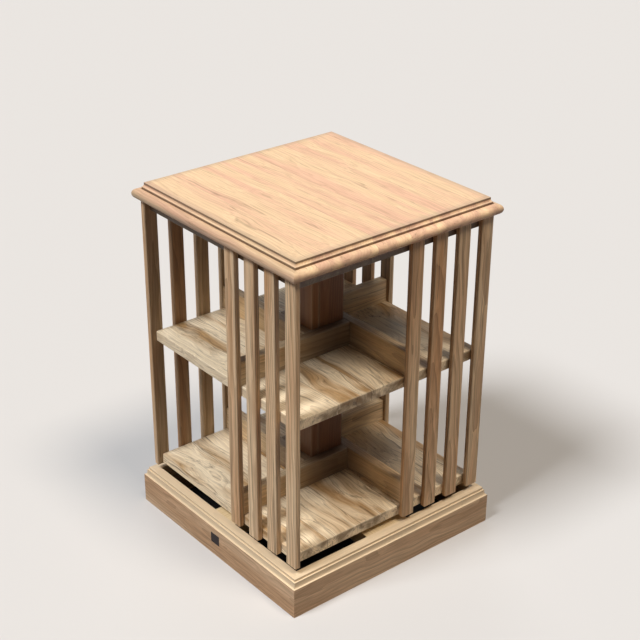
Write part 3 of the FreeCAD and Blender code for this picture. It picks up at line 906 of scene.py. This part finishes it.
class BOOKCASE_OT_plinth(bpy.types.Operator):
    """Four mitred rails with a ledge, a cove, a lip and a rim worked on their upper edge"""

    bl_idname = "bookcase.plinth"
    bl_label = "Plinth rails"

    def execute(self, context):
        sizes, colours = settings(context)
        plate_low, plate_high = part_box("plinth_plate")
        low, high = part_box("plinth_rail_front")
        outer, inner, top = high.x, high.x - sizes.rail_t, high.z
        high_z = top - sizes.plinth_rim_h
        cove_z = high_z - sizes.lip_h
        low_z = cove_z - sizes.cove_h
        cove = outer - sizes.low_ledge_w
        lip = cove - sizes.cove_w
        rim = lip - sizes.high_ledge_w
        # the cove is a quarter of an ellipse, level where it leaves the ledge and upright under the lip
        turns = np.linspace(0, math.pi / 2, HOLLOW_POINTS)
        sine, cosine = np.sin(turns), np.cos(turns)
        hollow = np.stack([cove - sizes.cove_w * sine, cove_z - sizes.cove_h * cosine], axis=1)
        lean = np.stack([sizes.cove_h * sine, sizes.cove_w * cosine], axis=1)
        lean /= np.linalg.norm(lean, axis=1, keepdims=True)
        # the face has grid lines on both sides of the wall of the plate's recess
        steps = np.array([low.z, plate_low.z - RECESS_WALL, plate_low.z, plate_high.z,
                          plate_high.z + RECESS_WALL, low_z - sizes.rail_round])
        face = np.stack([np.full(len(steps), outer), steps], axis=1)
        runs = [
            (face, np.broadcast_to((1.0, 0.0), face.shape)),
            *nosed(outer, low_z, sizes.rail_round, tuple(face[-1]), (cove, low_z))[1:],
            (hollow, lean),
            *nosed(lip, high_z, sizes.lip_round, (lip, cove_z), (rim, high_z)),
            *nosed(rim, top, sizes.lip_round, (rim, high_z), (inner, top)),
            straight((inner, top), (inner, low.z), WALL_POINTS),
            straight((inner, low.z), (outer, low.z)),
        ]
        width = plate_high.y
        reach = inner - sizes.cell / 2
        recess = [-width - RECESS_WALL, -width, width, width + RECESS_WALL]
        places = np.concatenate([np.linspace(-reach, reach, RAIL_LINES), recess])
        places = np.unique(np.round(places, SAME_PLACE))
        section = np.concatenate([points[:-1] for points, _ in runs])
        # broad rails, darkened by floor dust on their faces, and paler on the moulding from wear and as a
        # painted highlight
        wood = teak("plinth", colours.plinth_pale, colours.plinth_dark, colours)
        worn_and_highlit = partial(height_wear, start=low_z - sizes.rail_round / 2)
        for turn, side in enumerate(SIDES):
            patches = carried(runs, places, turn)
            spin = np.linalg.matrix_power(QUARTER_TURN, turn)
            if side == "left":
                grid, normal = patches[0]
                inside = np.abs(grid[..., Y]) <= width
                inside &= (grid[..., Z] >= plate_low.z) & (grid[..., Z] <= plate_high.z)
                patches[0] = (grid - normal * sizes.plate_recess * inside[..., None], normal)
            caps = []
            for end in (-1, 1):
                outline = np.stack([end * section[:, 0], -section[:, 0], section[:, 1]], axis=1)
                caps.append((outline @ spin, np.array([end, 1.0, 0.0]) / math.sqrt(2) @ spin))
            timber(context, f"plinth_rail_{side}", patches, wood, "plinth_wood", RUN[side], Z, worn_and_highlit,
                   rubbed_and_highlit=RAIL_RUBBED_AND_HIGHLIT, caps=caps)
        return {"FINISHED"}


class BOOKCASE_OT_underframe(bpy.types.Operator):
    """Crossed bearers under the spindle"""

    bl_idname = "bookcase.underframe"
    bl_label = "Bearers"

    def execute(self, context):
        _, colours = settings(context)
        quarter = math.pi / 2
        # paler than sawn teak would be, as painted light on the bearers' ends under the shelf
        dress("side_bearer", sawn_teak("teak_sawn_side_bearer", colours, (0, quarter, 0)))
        dress("front_bearer", sawn_teak("teak_sawn_front_bearer", colours, (quarter, 0, 0)))
        return {"FINISHED"}


class BOOKCASE_OT_plate(bpy.types.Operator):
    """Small plain plate let into the left rail"""

    bl_idname = "bookcase.plate"
    bl_label = "Plate"

    def execute(self, context):
        _, colours = settings(context)
        dress("plinth_plate", cast_bronze("bronze_cast_darkened", colours))
        return {"FINISHED"}


class BOOKCASE_OT_turning_gear(bpy.types.Operator):
    """Spindle, collar, thrust bearing, bushes and screws"""

    bl_idname = "bookcase.turning_gear"
    bl_label = "Turning gear"

    def execute(self, context):
        _, colours = settings(context)
        for name, (tint, rough, marks, spacing, pieces) in METALS.items():
            metal = worked_metal(name, getattr(colours, tint), rough, marks, spacing)
            for piece in pieces:
                dress(piece, metal)
        return {"FINISHED"}


class BOOKCASE_OT_stage(bpy.types.Operator):
    """Pale floor, soft light from above and the left, and the camera"""

    bl_idname = "bookcase.stage"
    bl_label = "Stage"

    def execute(self, context):
        stage, scene = context.scene.bookcase_stage, context.scene
        scene.view_settings.view_transform = "Standard"
        self.add_floor(scene, stage)
        self.add_world(scene, stage)
        self.add_light(scene, "key", stage.key)
        self.add_light(scene, "front", stage.front, stage.front_tint)
        self.add_light(scene, "back", stage.back)
        self.add_camera(scene, stage)
        return {"FINISHED"}

    def add_floor(self, scene, stage):
        """Painted floor. It shows pale, lights the bookcase as a darker floor would, and has painted shade
        inside the plinth: a near-black patch."""
        mesh = bpy.data.meshes.new("floor")
        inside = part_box("plinth_rail_front")[1].x - scene.bookcase_sizes.rail_t / 2
        square = ((-1, -1), (1, -1), (1, 1), (-1, 1))
        corners = [(x * reach, y * reach, 0) for reach in (FLOOR_REACH, inside) for x, y in square]
        outside = [(0, 1, 5, 4), (1, 2, 6, 5), (2, 3, 7, 6), (3, 0, 4, 7)]
        mesh.from_pydata(corners, [], [*outside, (4, 5, 6, 7)])
        mesh.polygons[len(outside)].material_index = 1
        material = bpy.data.materials.new("floor_paint_matt")
        add = bare_tree(material)
        paint = add("ShaderNodeMix", {MIX_FACTOR: seen_share(add), MIX_A: rgba(stage.floor_bounce),
                                      MIX_B: rgba(stage.floor)}, data_type="RGBA")
        shader = add("ShaderNodeBsdfDiffuse", {"Color": paint.outputs[MIX_RESULT]})
        add("ShaderNodeOutputMaterial", {"Surface": shader.outputs[0]})
        mesh.materials.append(material)
        # painted shade: the floor inside the plinth is near black
        dark = {"Base Color": rgba(stage.floor_shade_inside)}
        mesh.materials.append(finish_material("floor_paint_dark", lambda add: dark))
        floor = bpy.data.objects.new("floor", mesh)
        scene.collection.objects.link(floor)

    def add_world(self, scene, stage):
        """Even light, with a pale wall where the camera or a reflection looks past the floor."""
        world = bpy.data.worlds.new("studio")
        add = bare_tree(world)
        strength = add("ShaderNodeMapRange", (seen_share(add), 0.0, 1.0, stage.world, stage.wall))
        shine = add("ShaderNodeBackground", {"Color": (1, 1, 1, 1), "Strength": strength.outputs["Result"]})
        add("ShaderNodeOutputWorld", {"Surface": shine.outputs[0]})
        scene.world = world

    def add_light(self, scene, name, strength, tint=(1, 1, 1)):
        """Far lamp behind a wide diffuser. At strength 1 it alone shows a flat colour on the top as it is
        written, which takes pi over the sine of its elevation."""
        azimuth, elevation = LAMPS[name]
        light = bpy.data.lights.new(name, "SUN")
        light.energy = strength * math.pi / math.sin(math.radians(elevation))
        light.color = tint
        light.angle = math.radians(LAMP_WIDTH)
        lamp = bpy.data.objects.new(name, light)
        lamp.rotation_euler = (math.radians(90 - elevation), 0, math.radians(azimuth))
        scene.collection.objects.link(lamp)

    def add_camera(self, scene, stage):
        """Camera at the photograph's angle: its back points from the target to the eye, and its right lies
        level until it is rolled."""
        data = bpy.data.cameras.new("camera")
        data.sensor_width, data.lens = SENSOR_WIDTH, stage.lens
        data.shift_x, data.shift_y = stage.shift
        turn, rise, roll = stage.azimuth, stage.elevation, stage.roll
        back = Vector((math.sin(turn) * math.cos(rise), -math.cos(turn) * math.cos(rise), math.sin(rise)))
        flat = Vector((math.cos(turn), math.sin(turn), 0))
        upright = back.cross(flat)
        right = math.cos(roll) * flat + math.sin(roll) * upright
        up = math.cos(roll) * upright - math.sin(roll) * flat
        camera = bpy.data.objects.new("camera", data)
        axes = Matrix((right, up, back)).transposed().to_4x4()
        camera.matrix_world = Matrix.Translation(Vector(stage.target) + stage.distance * back) @ axes
        scene.collection.objects.link(camera)
        scene.camera = camera


class BOOKCASE_PT_panel(bpy.types.Panel):
    """Sizes, colours and pieces of the bookcase"""

    bl_idname = "BOOKCASE_PT_panel"
    bl_label = "Revolving bookcase"
    bl_space_type = "VIEW_3D"
    bl_region_type = "UI"
    bl_category = "Bookcase"

    def draw(self, context):
        for operator in OPERATORS:
            self.layout.operator(operator.bl_idname)
        for group in GROUPS:
            values = getattr(context.scene, group)
            column = self.layout.column()
            for name in values.bl_rna.properties.keys():
                if name not in ("rna_type", "name"):
                    column.prop(values, name)


GROUPS = {
    "bookcase_sizes": BookcaseSizes,
    "bookcase_colours": BookcaseColours,
    "bookcase_stage": BookcaseStage,
}
OPERATORS = (BOOKCASE_OT_top, BOOKCASE_OT_shelves, BOOKCASE_OT_slats, BOOKCASE_OT_core, BOOKCASE_OT_dividers,
             BOOKCASE_OT_plinth, BOOKCASE_OT_underframe, BOOKCASE_OT_plate, BOOKCASE_OT_turning_gear,
             BOOKCASE_OT_stage)
CLASSES = (*GROUPS.values(), *OPERATORS, BOOKCASE_PT_panel)


def register():
    for item in CLASSES:
        bpy.utils.register_class(item)
    for name, group in GROUPS.items():
        setattr(bpy.types.Scene, name, PointerProperty(type=group))


def unregister():
    for name in GROUPS:
        delattr(bpy.types.Scene, name)
    for item in reversed(CLASSES):
        bpy.utils.unregister_class(item)


def main():
    register()
    bpy.ops.bookcase.top()
    bpy.ops.bookcase.shelves()
    bpy.ops.bookcase.slats()
    bpy.ops.bookcase.core()
    bpy.ops.bookcase.dividers()
    bpy.ops.bookcase.plinth()
    bpy.ops.bookcase.underframe()
    bpy.ops.bookcase.plate()
    bpy.ops.bookcase.turning_gear()
    bpy.ops.bookcase.stage()


if __name__ == "__main__":
    main()
